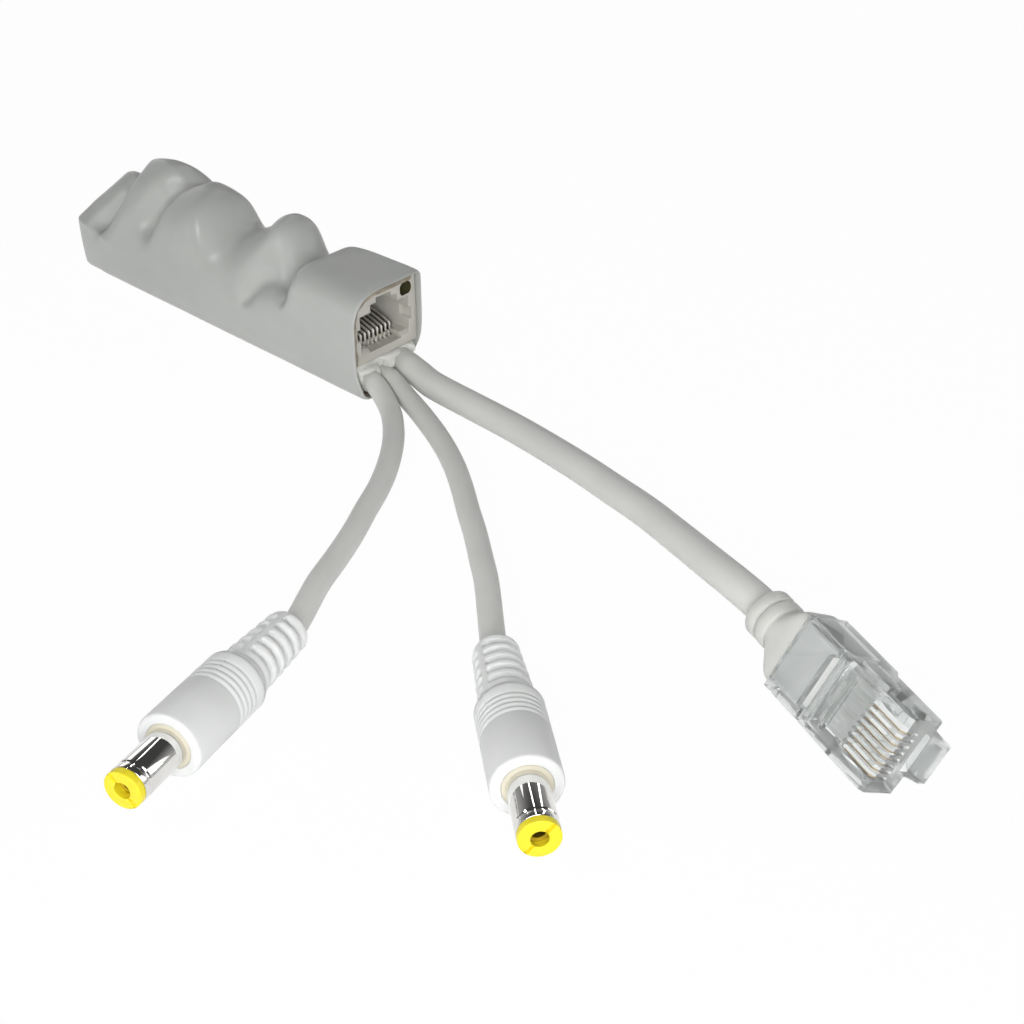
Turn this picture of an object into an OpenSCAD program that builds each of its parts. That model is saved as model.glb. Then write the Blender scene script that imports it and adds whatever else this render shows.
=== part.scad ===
// In-line power module for an eight-wire network cable: a small board shrunk into a
// white sleeve with a modular jack at its front end, and three short leads that leave
// below the jack. One lead ends in a clear modular plug, two end in 5.5 mm round plugs.
// X runs along the module with the jack mouth towards +X, Z is up, and the floor is z = 0.

/* [Module] */
// Length of the shrunk sleeve
sleeve_len = 87.4; // [86:0.2:90]
// Wall of the shrunk sleeve
sleeve_wall = 0.7; // [0.5:0.05:0.75]
// Slack of the sleeve on each side of the jack
side_slack = 0.2; // [0.15:0.05:0.4]
// Slack of the sleeve over the jack
top_slack = 0.3; // [0.2:0.05:0.5]

/* [Jack] */
// Width of the jack housing
jack_w = 15.6; // [15.2:0.1:15.7]
// Height of the jack housing
jack_h = 13; // [12.8:0.1:13.1]
// Depth of the jack housing
jack_d = 15.6; // [15:0.1:16.4]
// Radius of the housing's upper left edge
jack_corner = 5.2; // [4:0.2:5.4]
// Pitch of the eight contacts, in jack and plug
pitch = 1.02; // [1:0.01:1.04]

/* [Leads] */
// Diameter of the network lead
net_d = 5.1; // [4.8:0.1:5.3]
// Diameter of each power lead
dc_d = 3.8; // [3.4:0.1:3.8]

/* [Round plugs] */
// Barrel diameter
barrel_d = 5.5; // [5.4:0.05:5.6]
// Visible barrel length
barrel_len = 9.5; // [9:0.1:10]
// Grip diameter
grip_d = 9.5; // [9.2:0.1:9.8]
// Grip length
grip_len = 17; // [16:0.5:18]
// Strain relief length
relief_len = 12.5; // [11.5:0.5:13]

/* [Modular plug] */
// Width of the clear body
plug_w = 11.7; // [11.6:0.05:11.8]
// Height of the rear of the clear body
plug_h = 7.8; // [7.6:0.1:8]
// Length of the clear body
plug_len = 21; // [20.6:0.2:21.6]

/* [Hidden] */
$fn = 64;
gap = 0.1;             // clearance round loose pieces
fit = 0.06;            // clearance in pushed-in pieces
contacts = 8;
front = sleeve_len / 2;
rear = -front;

// Jack placement
peg_d = 2.4;
peg_y = 5.9;
jack_front = front - 1;
jack_rear = jack_front - jack_d;
board_z = 6.4;
board_t = 0.8;
deck = board_z + board_t;
jack_top = deck + jack_h;
peg_x = jack_rear + 7.4;
mouth_w = plug_w + 2 * gap;
mouth_z = deck + 2.5;
mouth_h = 6.8;
mouth_back = jack_rear + 1.8;
sleeve_w = jack_w + 2 * (sleeve_wall + side_slack);
sleeve_h = jack_top + sleeve_wall + top_slack;
arch_y = jack_corner - jack_w / 2;      // centre of the round upper left corner
arch_z = jack_top - jack_corner;

// Places along the module are stated from -43.7 at the sleeve's rear end to 27.1 at the rear of
// the jack. They keep their order when a length changes, because the span between is stretched.
stated_rear = -43.7;
stated_jack = 27.1;
stretch = (jack_rear - rear) / (stated_jack - stated_rear);
function place(x) = x < stated_jack ? rear + (x - stated_rear) * stretch : jack_rear + x - stated_jack;
function stated(x) = x < jack_rear ? stated_rear + (x - rear) / stretch : stated_jack + x - jack_rear;

// Sleeve, along its length: height of the ridge, height of the left shoulder, where the ridge
// starts, how full the slope between them is (1 straight, 2 round), half width, right corner
top_line = [[-43.7, 16.6], [-39, 18.2], [-35.3, 19.4], [-32.7, 19.8], [-30, 21.5], [-27, 23.7],
            [-24, 25], [-20, 25.4], [-13, 25.2], [-11.8, 24.4], [-6, 24.1], [-1.3, 22.9], [0, 20.3],
            [1.1, 18.6], [4, 17.9], [16, 17.8], [21.8, 18], [23.8, 18.6], [25.8, sleeve_h], [50, sleeve_h]];
shoulder_line = [[-43.7, 10.6], [-37, 10], [-30, 9], [-20, 9], [-12, 9.5], [0, 9], [6, 8.6],
                 [21.2, 9], [24, 11], [25.8, arch_z], [50, arch_z]];
crown_line = [[-43.7, 5.2], [-30, 3.5], [-20, 2.5], [-4, 2.5], [4, 4], [20.2, 4],
              [25.6, arch_y], [50, arch_y]];
bulge_line = [[-43.7, 1.02], [-36, 1.05], [-30, 1.2], [-20, 1.3], [-10, 1.8], [0, 1.8], [4, 1.5],
              [21.2, 1.5], [25.8, 2], [50, 2]];
side_line = [[-43.7, 6.2], [-40, 7.3], [-34, 7.9], [-26, 8.2], [-12, 8.3], [20.2, 8.3],
             [25, sleeve_w / 2], [50, sleeve_w / 2]];
corner_line = [[-43.7, 1.4], [-38, 2.6], [-30, 4], [0, 4.2], [22.2, 3.6], [26.9, 2.8], [29.2, 1.3],
               [50, 1.3]];
foot_line = [[-43.7, 0.8], [-38, 2.2], [50, 2.2]];
foot_w = 7.5;          // half width where the sleeve meets the floor
axis_y = 1;            // line that swellings and folds are measured round
axis_z = 7;
turn_mm = 0.17;        // skin length of one degree round that line
// Swellings over single components: x, angle from +Y, height, reach along, reach round, and
// how flat the top is (2 pointed, 3 flat)
swellings = [[15, 80, 5.6, 4.5, 5.4, 3], [9.2, 86, 2.6, 4.2, 7, 2], [-6, 116, 1.3, 6.5, 4, 2.4],
             [12.5, 120, 0.8, 5.5, 6, 2], [3, 118, 0.7, 5, 6, 2], [20, 143, 1.3, 3.6, 4.2, 2.2],
             [-24, 104, 1, 5, 4, 2.4]];
// Folds of slack skin: way along it as x and angle, width, height (negative for a valley)
folds = [[[[-32.8, 66], [-34.2, 120], [-36.5, 165]], 1.8, -2.1],
         [[[-28, 82], [-28.6, 150]], 2.4, 0.9],
         [[[-13.5, 84], [-17.2, 106], [-18.6, 126]], 2.2, -2],
         [[[-5, 100], [-3.5, 135]], 2, 0.5],
         [[[16, 112], [13, 152]], 1.8, -0.9],
         [[[21.2, 66], [21.6, 112], [24, 138]], 1.5, -1.3],
         [[[-40, 60], [-41, 120]], 1.6, 0.5]];
stated_stations = concat([for (x = [stated_rear : 1.25 : -24]) x], [for (x = [-22.6 : 1.5 : -12]) x],
                         [for (x = [-10 : 2.4 : 0]) x], [for (x = [1 : 1.4 : 25.2]) x],
                         [for (x = [-0.5, 0.8, 4, 8.5, 12.5]) stated_jack + x]);
outer_stations = concat([for (x = stated_stations) if (place(x) < front - 2) place(x)], [front - 1.3]);
rim_x = [front - 0.45, front];
rear_skew = 0.19;      // how far the rear end runs forward per mm towards +Y
rim_back = 2.8;        // how far the rim is cut back beside the thick lead

// Places of the three leads where they leave below the jack: y, z
net_exit = [4.05, 3.65];
dc1_exit = [-4.7, 3.4];
dc2_exit = [-0.7, 2.7];

function from_board(x, p) = [x + front - 43.7, p[0], p[1]];
function straight(p) = [for (x = [30, 38, 42.5]) from_board(x, p)];

// Points on the floor follow the front end when it moves, less and less towards the plug
function laid(p) =
    [for (i = [0 : len(p) - 1]) p[i] + [(front - 43.7) * (1 - i / (len(p) - 1)), 0, 0]];

// Routes of the leads on the floor
net_route = concat(straight(net_exit), laid([
    [46.6, 3.7, 3.1], [51.5, 2.9, 2.65], [62, 2.3, 2.6], [71.5, 1.6, 2.75], [81.5, 0, 3.25],
    [91, -2.2, 4.05], [98, -4.2, 4.75], [107.5, -7.2, 5.95], [117, -10.9, 7.15], [125, -14.2, 8.25],
    [131, -16.5, 8.9]]));
dc1_route = concat(straight(dc1_exit), laid([
    [44.3, -4.7, 3.4], [48.5, -6.3, 2.5], [53, -9, 2], [58.5, -14, 1.95], [63.5, -20, 2],
    [67.5, -26, 2.05], [71, -32.5, 2.1], [74.5, -38.7, 2.3], [77.5, -44.8, 2.5], [80.5, -51, 2.9]]));
dc2_route = concat(straight(dc2_exit), laid([
    [44.3, -0.7, 2.7], [50, -2.6, 2.1], [56.5, -5.1, 1.95], [64.5, -8.8, 1.95], [71.5, -12.8, 2],
    [77.5, -17, 2], [83, -21.3, 2.1], [88.5, -25.5, 2.3], [94, -30, 2.5], [99, -34.2, 2.8]]));

// Round plugs: length from tip to lead, place of the tip, bearing and lift of the tip
dc_total = barrel_len + grip_len + relief_len;
dc_lift = 6;
dc_height = (barrel_len + grip_len - 1.6) * sin(dc_lift) + grip_d / 2 * cos(dc_lift) + 0.03;
dc1_tip = [98.3, -98, dc_height];
dc1_bearing = -71.2;
dc2_tip = [140.8, -70.2, dc_height];
dc2_bearing = -39.8;
dc1_end = dc1_tip - dc_total * aim(dc1_bearing, dc_lift);
dc2_end = dc2_tip - dc_total * aim(dc2_bearing, dc_lift);

// Modular plug: place of the body centre, bearing, dip of the nose and roll
plug_at = [155.3, -25.3, 7.2];
plug_bearing = -20.69;
plug_dip = 4.1;
plug_roll = 61.5;
boot_len = 9;
plug_axis = aim(plug_bearing, -plug_dip);
boot_end = plug_at - (plug_len / 2 + boot_len) * plug_axis;

function aim(bearing, lift) = [cos(lift) * cos(bearing), cos(lift) * sin(bearing), sin(lift)];
function unit(v) = v / norm(v);

// A value of a table, eased over a short span
function eased(x, t, d = 1.2) =
    let (u = stated(x)) (lookup(u - d, t) + 2 * lookup(u, t) + lookup(u + d, t)) / 4;

function sum(v, i = 0) = i >= len(v) ? 0 : v[i] + sum(v, i + 1);

// Distance from p to the stretch a-b
function reach(p, a, b) =
    let (ab = b - a, t = max(0, min(1, ((p - a) * ab) / (ab * ab)))) norm(p - a - t * ab);

// Distance from p to a way through several points
function along(p, way) = min([for (i = [0 : len(way) - 2]) reach(p, way[i], way[i + 1])]);
function skin_mm(q) = [q[0], q[1] * turn_mm];

// Rise of the skin over the components, and its folds, at x and an angle round the axis
function rise(x, a) =
    let (q = skin_mm([x, a]))
    sum([for (s = swellings)
         let (c = skin_mm([place(s[0]), s[1]]), d = norm([(q[0] - c[0]) / s[3], (q[1] - c[1]) / s[4]]))
         s[2] * exp(-pow(d, s[5]))])
    + sum([for (f = folds)
           let (way = [for (w = f[0]) skin_mm([place(w[0]), w[1]])])
           f[2] * exp(-pow(along(q, way) / f[1], 2))]);

// Half width of the sleeve at a height: narrow at the foot, full from the deck upwards
function half_w(x, z, inset) =
    let (w = eased(x, side_line), k = max(0, min(1, z / deck)), foot = min(foot_w, w - 0.3))
    foot + (w - foot) * (k * (2 - k)) - inset;

function arc(c, r, a0, a1, m) =
    [for (i = [0 : m - 1]) let (a = a0 + (a1 - a0) * i / (m - 1)) c + r * [cos(a), sin(a)]];

// One closed section of the sleeve as [y, z] points, drawn in by inset
function section(x, inset) =
    let (zt = eased(x, top_line) - inset, w = half_w(x, 30, inset), foot = half_w(x, 0, inset),
         sh = eased(x, shoulder_line), rb = eased(x, foot_line), zb = inset + rb,
         rt = max(0.35, eased(x, corner_line) - inset), hi = zt - rt,
         yc = eased(x, crown_line), q = 2 / eased(x, bulge_line),
         step = [for (k = [1 : 3]) k / 4])
    concat(arc([w - rt, hi], rt, 0, 90, 6),
           [for (k = [1 : 2]) [(w - rt) + (yc - w + rt) * k / 3, zt]],
           [for (i = [0 : 11]) let (a = 90 - 90 * i / 11)
            [yc - (w + yc) * pow(cos(a), q), sh + (zt - sh) * pow(sin(a), q)]],
           [for (k = step) let (z = sh + (zb - sh) * k) [-half_w(x, z, inset), z]],
           arc([rb - foot, zb], rb, 180, 270, 5),
           [for (k = step) [(rb - foot) * (1 - 2 * k), inset]],
           arc([foot - rb, zb], rb, 270, 360, 5),
           [for (k = step) let (z = zb + (hi - zb) * k) [half_w(x, z, inset), z]]);

// How far a point is moved along x: the skewed rear end, and the rim cut back at lower right
function shift(x, y, z) =
    let (r = max(0, min(1, (rear + 9 - x) / 9)), f = max(0, min(1, (x - front + 9) / 9)))
    rear_skew * max(0, y + 5.7) * r
    - rim_back * f * max(0, min(1, (y - 1) / 4)) * max(0, min(1, (7.6 - z) / 4));

// The section with its swellings and folds, which fade out below the deck and never widen it
function skin(x, inset) =
    let (side = sleeve_w / 2 - inset)
    [for (p = section(x, inset))
     let (out = p - [axis_y, axis_z], a = atan2(out[1], out[0]),
          k = max(0, min(1, (p[1] - 7.5) / 4)), s = (a < -90 ? a + 360 : a),
          q = p + unit(out) * rise(x, s) * k, y = max(-side, min(side, q[0])))
     [x + shift(x, y, q[1]), y, q[1]]];

// A ring of the rim: drawn in a little more above the deck, round the jack
function curled(x, low, high) =
    let (a = skin(x, low), b = skin(x, high))
    [for (i = [0 : len(a) - 1])
     let (t = max(0, min(1, (a[i][2] - deck) / 4))) a[i] * (1 - t) + b[i] * t];

// Outside from the rear to the rim, then inside from the rim back to the rear
function sleeve_rings() = concat(
    [skin(rear, 0.4)],
    [for (x = outer_stations) if (x > rear + 0.5) skin(x, 0)],
    [curled(rim_x[0], 0, 0.06), curled(rim_x[1], 0.25, 0.3)],
    [curled(rim_x[1] - 0.05, 0.5, 0.5), curled(jack_front + 0.3, 0.66, 0.7)],
    [skin(jack_front + 0.08, sleeve_wall)],
    [for (i = [len(outer_stations) - 1 : -1 : 2]) skin(outer_stations[i], sleeve_wall)]);

function flat(v) = [for (a = v) for (b = a) b];

// Side faces between rings of n points each
function band(rings, n) =
    [for (i = [0 : rings - 2]) for (j = [0 : n - 1])
     let (a = i * n + j, b = i * n + (j + 1) % n) each [[a, b, b + n], [a, b + n, a + n]]];

// A tube along a path: the rings keep their twist from one to the next
function bend_at(p, i) = unit(unit(p[min(i + 1, len(p) - 1)] - p[i] + 1e-9 * [1, 0, 0])
                              + unit(p[i] - p[max(i - 1, 0)] + 1e-9 * [1, 0, 0]));
function heading(p, i) = i == 0 ? unit(p[1] - p[0])
                       : i == len(p) - 1 ? unit(p[i] - p[i - 1]) : bend_at(p, i);
function side_of(p, i) =
    i == 0 ? unit(cross(heading(p, 0), [0, 0, 1]))
           : let (h = heading(p, i), s = side_of(p, i - 1)) unit(s - (s * h) * h);
function tube_rings(p, r, n) =
    [for (i = [0 : len(p) - 1]) let (h = heading(p, i), s = side_of(p, i), u = cross(h, s))
     [for (k = [0 : n - 1]) p[i] + r * (cos(360 * k / n) * s + sin(360 * k / n) * u)]];

// Rounds a route: parts points on each stretch of a curve through the given points
function curve_at(a, b, c, d, t) =
    0.5 * ((2 * b) + (c - a) * t + (2 * a - 5 * b + 4 * c - d) * t * t
           + (3 * b - a - 3 * c + d) * t * t * t);
function rounded(p, parts) = concat(
    [for (i = [0 : len(p) - 2]) for (k = [0 : parts - 1])
     curve_at(p[max(i - 1, 0)], p[i], p[i + 1], p[min(i + 2, len(p) - 1)], k / parts)],
    [p[len(p) - 1]]);

module tube(p, d, n) {
    rings = tube_rings(p, d / 2, n);
    polyhedron(points = flat(rings),
               faces = concat([[for (k = [0 : n - 1]) k]],
                              [for (f = band(len(p), n)) [f[0], f[2], f[1]]],
                              [[for (k = [n - 1 : -1 : 0]) (len(p) - 1) * n + k]]),
               convexity = 10);
}

module block(x0, x1, y0, y1, z0, z1) {
    translate([x0, y0, z0]) cube([x1 - x0, y1 - y0, z1 - z0]);
}

// The module: sleeve, jack, board and what stands on it

module heat_shrink_sleeve() {
    rings = sleeve_rings();
    n = len(rings[0]);
    last = len(rings) - 1;
    color([0.86, 0.87, 0.86])
    polyhedron(points = flat(rings),
               faces = concat([[for (k = [0 : n - 1]) k]],
                              [for (f = band(len(rings), n)) [f[0], f[2], f[1]]],
                              [[for (k = [n - 1 : -1 : 0]) last * n + k]]),
               convexity = 12);
}

module contact_slots(x0, x1, z0, z1, w) {
    for (i = [0 : contacts - 1])
        block(x0, x1, (i - 3.5) * pitch - w / 2, (i - 3.5) * pitch + w / 2, z0, z1);
}

module jack_housing() {
    lamp_y = jack_w / 2 - 2.4;
    lamp_z = jack_top - 2.1;
    color([0.85, 0.84, 0.8])
    difference() {
        union() {
            // Outline of the housing with its round upper left edge
            translate([jack_rear, 0, 0]) rotate([90, 0, 90]) linear_extrude(height = jack_d)
                difference() {
                    translate([-jack_w / 2, deck]) square([jack_w, jack_h]);
                    translate([-jack_w / 2, arch_z]) difference() {
                        translate([-1, 0]) square([jack_corner + 1, jack_corner + 1]);
                        translate([jack_corner, 0]) circle(jack_corner);
                    }
                }
            for (s = [-1, 1]) translate([peg_x, s * peg_y, deck - 0.7])
                cylinder(d = peg_d, h = 0.8);
        }
        // Mouth for the plug body, then the keyed steps for its latch
        block(mouth_back, front, -mouth_w / 2, mouth_w / 2, mouth_z, mouth_z + mouth_h);
        block(mouth_back, front, -3.3, 3.3, mouth_z + mouth_h - 1, mouth_z + mouth_h + 1.5);
        block(mouth_back + 2, front, -1.9, 1.9, mouth_z + mouth_h, mouth_z + mouth_h + 2.4);
        // Side grooves near the face, and the lead-in along the lower lip
        for (s = [-1, 1]) block(jack_front - 2.4, front, s * 6 - 0.7, s * 6 + 0.7,
                                mouth_z + 2.2, mouth_z + 4.4);
        translate([0, mouth_w / 2, 0]) rotate([90, 0, 0]) linear_extrude(height = mouth_w)
            polygon([[jack_front - 0.7, mouth_z + 0.1], [jack_front + 0.1, mouth_z - 0.7],
                     [jack_front + 0.1, mouth_z + 0.1]]);
        // Bevelled upper right corner at the rear
        translate([jack_rear, jack_w / 2, jack_top]) rotate([0, -38.7, 126.9]) block(-1.5, 5, -5, 5, -5, 5);
        // Notch in the lip, pit under the springs, and the slots that their front ends stand in
        block(jack_front - 2.4, front, -3.9, 3.9, mouth_z - 0.9, mouth_z + 1);
        block(mouth_back + 0.8, jack_front - 3, -4.6, 4.6, mouth_z - 1.6, mouth_z + 1);
        contact_slots(jack_front - 3.1, jack_front - 2.2, mouth_z - 1.1, mouth_z + 1, 0.66);
        // Lamp bore in the upper right corner, flattened on the inner side
        intersection() {
            translate([jack_front - 5, lamp_y, lamp_z]) rotate([0, 90, 0])
                cylinder(d = 2.9, h = 9);
            block(jack_front - 6, front + 3, lamp_y - 1.35, lamp_y + 2, lamp_z - 1.2, lamp_z + 2);
        }
        // Recess along the sides, where the moulding is thinned
        for (s = [-1, 1]) block(jack_rear + 2, jack_front - 3, s * (jack_w / 2 - 0.05) - 0.35,
                                s * (jack_w / 2 - 0.05) + 0.35, deck + 3, deck + 7);
    }
}

// Insert whose slope carries the springs, with a notch below each of them
module jack_contact_carrier() {
    x = jack_front - 3.15;
    z = mouth_z;
    climb = (x - mouth_back - 1) * 0.29;
    color([0.08, 0.08, 0.09])
    difference() {
        translate([0, 4.5, 0]) rotate([90, 0, 0]) linear_extrude(height = 9)
            polygon([[mouth_back + 0.9, z - 1.55], [x, z - 1.55], [x, z + 0.9], [x - 0.2, z + 1.1],
                     [mouth_back + 0.9, z + 1.1 + climb]]);
        contact_slots(x - 0.5, x + 1, z - 0.6, z + 0.4, 0.6);
    }
}

// A spring of the jack: stands in its slot, bends over and rises towards the rear
module jack_contact(i) {
    w = 0.4;
    x = jack_front - 2.95;
    z = mouth_z;
    run = x - mouth_back - 1.2;
    top = z + 1.3 + 0.29 * run;
    translate([0, (i - 3.5) * pitch + w / 2, 0]) rotate([90, 0, 0])
        linear_extrude(height = w)
            polygon([[x, z - 1], [x + 0.32, z - 1], [x + 0.32, z + 1.3], [x + 0.12, z + 1.6],
                     [x - run + 0.1, top + 0.3], [x - run, top], [x - 0.1, z + 1.28]]);
}

board_w = 12.4;
board_rear = 7.2;      // from the sleeve's rear end
board_front = 3.4;     // from the jack's face
module circuit_board() {
    x0 = rear + board_rear;
    color([0.1, 0.42, 0.22])
    difference() {
        block(x0, jack_front - board_front, -board_w / 2, board_w / 2, board_z, deck);
        for (s = [-1, 1]) translate([peg_x, s * peg_y, board_z - 1])
            cylinder(d = peg_d + 2 * gap, h = 3);
        for (s = [-1, 1]) block(x0 - 1, x0 + 2, s * (board_w / 2 - 0.2) - 0.9,
                                s * (board_w / 2 - 0.2) + 0.9, board_z - 1, deck + 1);
        // Solder holes of the transformer
        for (x = [-6, -3, 3, 6], s = [-1, 1]) translate([tr[0] + x, tr[1] + s * 3.8, board_z - 1])
            cylinder(d = 0.9, h = 3);
    }
}

tr = [place(-20.6), 1.9];  // middle of the transformer
core_l = 12.2;
core_w = 5;
core_h = 9.6;
limb = 2;              // half length of the middle limb
module transformer_core() {
    color([0.2, 0.2, 0.22])
    translate([tr[0], tr[1], deck + 0.6]) difference() {
        block(-core_l / 2, core_l / 2, -core_w / 2, core_w / 2, 0, core_h);
        for (s = [-1, 1]) block(s * 3.4 - 1.4, s * 3.4 + 1.4, -core_w, core_w, 2, core_h - 2);
    }
}

module transformer_bobbin() {
    color([0.12, 0.12, 0.12])
    translate([tr[0], tr[1], deck]) difference() {
        union() {
            for (z = [2.8, core_h - 2.1]) block(-4.6, 4.6, -4.5, 4.5, z, z + 0.6);
            block(-limb - 0.7, limb + 0.7, -core_w / 2 - 0.6, core_w / 2 + 0.6, 2.8, core_h - 1.6);
            for (s = [-1, 1]) block(-4.6, 4.6, s * 3.8 - 0.7, s * 3.8 + 0.7, 0, 3);
        }
        block(-limb - fit, limb + fit, -core_w / 2 - fit, core_w / 2 + fit, 0.5, 13);
    }
}

module transformer_winding() {
    w = 4.3;
    color([0.85, 0.7, 0.25])
    translate([tr[0], tr[1], deck + 3.5]) difference() {
        linear_extrude(height = core_h - 5.7)
            polygon([[-w, -3.3], [-3.2, -w], [3.2, -w], [w, -3.3], [w, 3.3], [3.2, w], [-3.2, w], [-w, 3.3]]);
        block(-limb - 0.8, limb + 0.8, -core_w / 2 - 0.7, core_w / 2 + 0.7, -1, 8);
    }
}

// A can capacitor: crimped waist near the foot and a scored vent in the top
module can_capacitor(x, y, d, h) {
    color([0.15, 0.17, 0.3])
    translate([x, y, deck]) difference() {
        rotate_extrude() polygon([[0, 0], [d / 2 - 0.4, 0], [d / 2, 0.4], [d / 2, 1.2],
                                  [d / 2 - 0.35, 1.6], [d / 2, 2], [d / 2, h - 0.5],
                                  [d / 2 - 0.5, h], [d / 2 - 1, h], [d / 2 - 1.1, h - 0.25],
                                  [0, h - 0.25]]);
        for (a = [0, 90]) rotate(a) block(-d / 2 + 1.4, d / 2 - 1.4, -0.15, 0.15, h - 0.4, h + 1);
    }
}

module bulk_capacitor() can_capacitor(place(-5.4), 1.4, 9, 11.2);

module output_capacitor() can_capacitor(place(14.6), 2.4, 6, 10.8);

module filter_capacitor() can_capacitor(place(4.6), 4, 3.8, 4.6);

module choke_core() {
    color([0.25, 0.25, 0.26])
    translate([place(-32.7), 0, deck + 1.7]) rotate_extrude()
        polygon([[1.5, -1], [1.8, -1.3], [2.9, -1.3], [3.2, -1], [3.2, 1], [2.9, 1.3], [1.8, 1.3], [1.5, 1]]);
}

module drum_inductor() {
    color([0.3, 0.3, 0.32])
    translate([place(12.4), -3.6, deck]) rotate_extrude()
        polygon([[0, 0], [2.4, 0], [2.4, 0.7], [1.5, 0.9], [1.5, 2.3], [2.4, 2.5], [2.4, 3.2], [0, 3.2]]);
}

module controller_chip() {
    color([0.1, 0.1, 0.11])
    translate([place(5.4), -2.8, deck]) {
        block(-2.5, 2.5, -1.9, 1.9, 0.2, 1.6);
        for (x = [-1.9, -0.63, 0.63, 1.9], s = [-1, 1]) {
            block(x - 0.2, x + 0.2, s * 2.2 - 0.45, s * 2.2 + 0.45, 0.55, 0.8);
            block(x - 0.2, x + 0.2, s * 2.6 - 0.15, s * 2.6 + 0.15, 0, 0.8);
        }
    }
}

module bridge_rectifier() {
    color([0.12, 0.12, 0.12])
    translate([place(20.6), -3, deck]) {
        block(-2.2, 2.2, -2.4, 2.4, 0.3, 2.5);
        for (x = [-1.3, 1.3], s = [-1, 1]) block(x - 0.4, x + 0.4, s * 2.5 - 0.4, s * 2.5 + 0.4, 0, 0.7);
    }
}

module opto_coupler() {
    color([0.9, 0.9, 0.88])
    translate([place(21.2), 3.1, deck]) {
        block(-2, 2, -2.2, 2.2, 0.4, 2.6);
        for (x = [-1.2, 1.2], s = [-1, 1]) block(x - 0.3, x + 0.3, s * 2.4 - 0.3, s * 2.4 + 0.3, 0, 1);
    }
}

// Hot-melt filling below the jack, poured round the three leads
module glue_seal() {
    x1 = jack_front - 0.3;
    color([0.93, 0.93, 0.91])
    difference() {
        translate([jack_front - 3.2, 0, 0]) rotate([90, 0, 90]) linear_extrude(height = 2.9)
            polygon([[-4.5, 0.8], [4.5, 0.8], [5.9, 1.5], [6.5, 2.5], [6.65, 3.2], [7, 5],
                     [7.2, 6.9], [-7.2, 6.9], [-7, 5], [-6.65, 3.2], [-6.5, 2.5], [-5.9, 1.5]]);
        for (p = [[net_exit, net_d], [dc1_exit, dc_d], [dc2_exit, dc_d]])
            translate([jack_front - 5, p[0][0], p[0][1]]) rotate([0, 90, 0])
                cylinder(d = p[1] + gap, h = 9);
    }
}

// The three leads

module network_lead() {
    color([0.82, 0.82, 0.8])
    tube(concat(rounded(net_route, 2), [boot_end - 2 * plug_axis, boot_end]), net_d, 10);
}

module power_lead_one() {
    color([0.82, 0.82, 0.8])
    tube(concat(rounded(dc1_route, 2),
                [dc1_end - 2.5 * aim(dc1_bearing, dc_lift), dc1_end]), dc_d, 8);
}

module power_lead_two() {
    color([0.82, 0.82, 0.8])
    tube(concat(rounded(dc2_route, 2),
                [dc2_end - 2.5 * aim(dc2_bearing, dc_lift), dc2_end]), dc_d, 8);
}

// The modular plug, drawn with its nose along +X and its contact face upwards

module plug_place() {
    translate(plug_at) rotate([0, 0, plug_bearing]) rotate([0, plug_dip, 0])
        rotate([plug_roll, 0, 0]) children();
}

nose = plug_len / 2;
blade_w = 0.34;
plug_face = 3.9;       // height of the contact face over the axis
module plug_shell() {
    color([0.8, 0.84, 0.86])
    plug_place() {
        difference() {
            union() {
                // Side outline: full height behind, stepped down on the latch side in front
                rotate([90, 0, 0]) translate([0, 0, -plug_w / 2]) linear_extrude(height = plug_w)
                    polygon([[-nose, plug_face - plug_h], [-nose, plug_face], [nose - 0.7, plug_face],
                             [nose, plug_face - 0.7], [nose, plug_face - 6.2],
                             [nose - 0.5, plug_face - 6.7], [1.5, plug_face - 6.7],
                             [0.4, plug_face - plug_h]]);
                // Wider rear half, which stays outside a jack
                block(-nose, -2.8, -plug_w / 2 - 0.3, plug_w / 2 + 0.3,
                      plug_face - plug_h + 0.9, plug_face - 0.25);
                // Latch: springs from a lip below the nose and rises towards the rear
                rotate([90, 0, 0]) translate([0, 0, -3]) linear_extrude(height = 6)
                    polygon([[nose - 0.6, plug_face - 5.4], [nose + 0.6, -3.3], [nose + 1.2, -4],
                             [nose + 1.2, -5.5], [nose + 0.7, -6], [4.2, -6.8], [4.2, -5.6], [nose - 2.6, -4.4],
                             [nose - 3.2, plug_face - 5.4]]);
                rotate([90, 0, 0]) translate([0, 0, -1.7]) linear_extrude(height = 3.4)
                    polygon([[4.4, -6.45], [4.4, -5.2], [-4.6, -7.4], [-5.2, -8.6], [-4.4, -8.9]]);
            }
            // Blade slots, open at the nose and at the contact face
            for (i = [0 : contacts - 1])
                block(nose - 6.3, nose + 1, (i - 3.5) * pitch - blade_w / 2 - fit,
                      (i - 3.5) * pitch + blade_w / 2 + fit, plug_face - 3.2, plug_face + 1);
            // Hollow for the cable and the wires
            block(-nose - 1, -2, -4.9, 4.9, -2.8, 2.5);
            block(-2.5, 3.4, -4.3, 4.3, -1.9, 0.5);
            // Contact face: lowered between its side walls, with the cross slots of the strain bars
            block(-1.9, nose - 6.9, -plug_w / 2 + 0.7, plug_w / 2 - 0.7, plug_face - 0.35, plug_face + 1);
            block(-0.1, 0.8, -4.4, 4.4, plug_face - 1.1, plug_face + 1);
            block(-4.6, -3.4, -4.2, 4.2, 2, plug_face + 1);
            block(-3.6, -2.8, -plug_w / 2 - 0.1, plug_w / 2 + 0.1, plug_face - 0.8, plug_face + 1);
            // A catch in each side
            for (s = [-1, 1]) block(-3.2, -1.6, s * 5.95 - 0.35, s * 5.95 + 0.35, -1, 1.4);
        }
    }
}

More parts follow.
